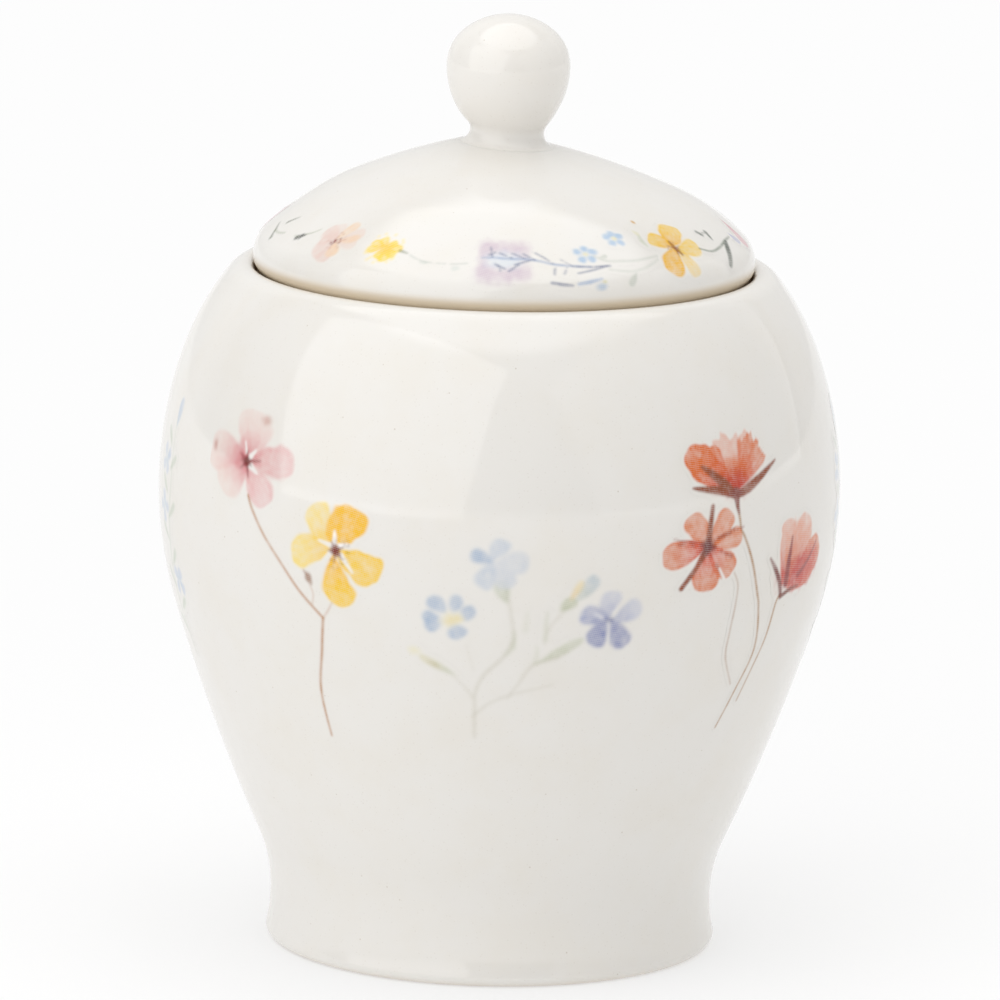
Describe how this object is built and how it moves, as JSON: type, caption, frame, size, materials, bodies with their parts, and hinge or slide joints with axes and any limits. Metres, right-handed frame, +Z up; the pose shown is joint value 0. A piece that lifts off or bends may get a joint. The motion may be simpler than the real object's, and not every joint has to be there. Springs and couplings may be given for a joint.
{
  "type": "sugar bowl",
  "caption": "Lidded ceramic sugar bowl: a waisted, full-bellied pot with a rolled lip, and a domed lift-off lid with a ball knob.",
  "frame": {"origin": "centre of the foot ring, on the surface that the bowl stands on", "axes": "+Z up along the axis that the bowl, lid and knob are turned about; the printed front faces -Y; +X is to the right seen from the front"},
  "size_m": [0.1024, 0.1024, 0.141],
  "materials": {
    "body_glaze": "glossy off-white glaze over a pale clay body, with faint specks",
    "lid_glaze": "the same glossy off-white glaze, thin and tan along the lower edge",
    "knob_glaze": "the same glossy off-white glaze, pooled slightly in the crease of the neck",
    "bare_clay": "matte unglazed tan clay under the foot ring, on the ledge in the lip and on the lid's seat",
    "floral_print": "loose watercolour wildflowers printed under the glaze, in pink, yellow, blue, orange and green"
  },
  "bodies": {
    "bowl": {"bowl": "body_glaze"},
    "lid": {"lid": "lid_glaze", "knob": "knob_glaze"}
  },
  "joints": [
    {"name": "lid_lift", "type": "slide", "parent": "bowl", "child": "lid", "axis": [0, 0, 1], "range_m": [0, 0.08]}
  ]
}
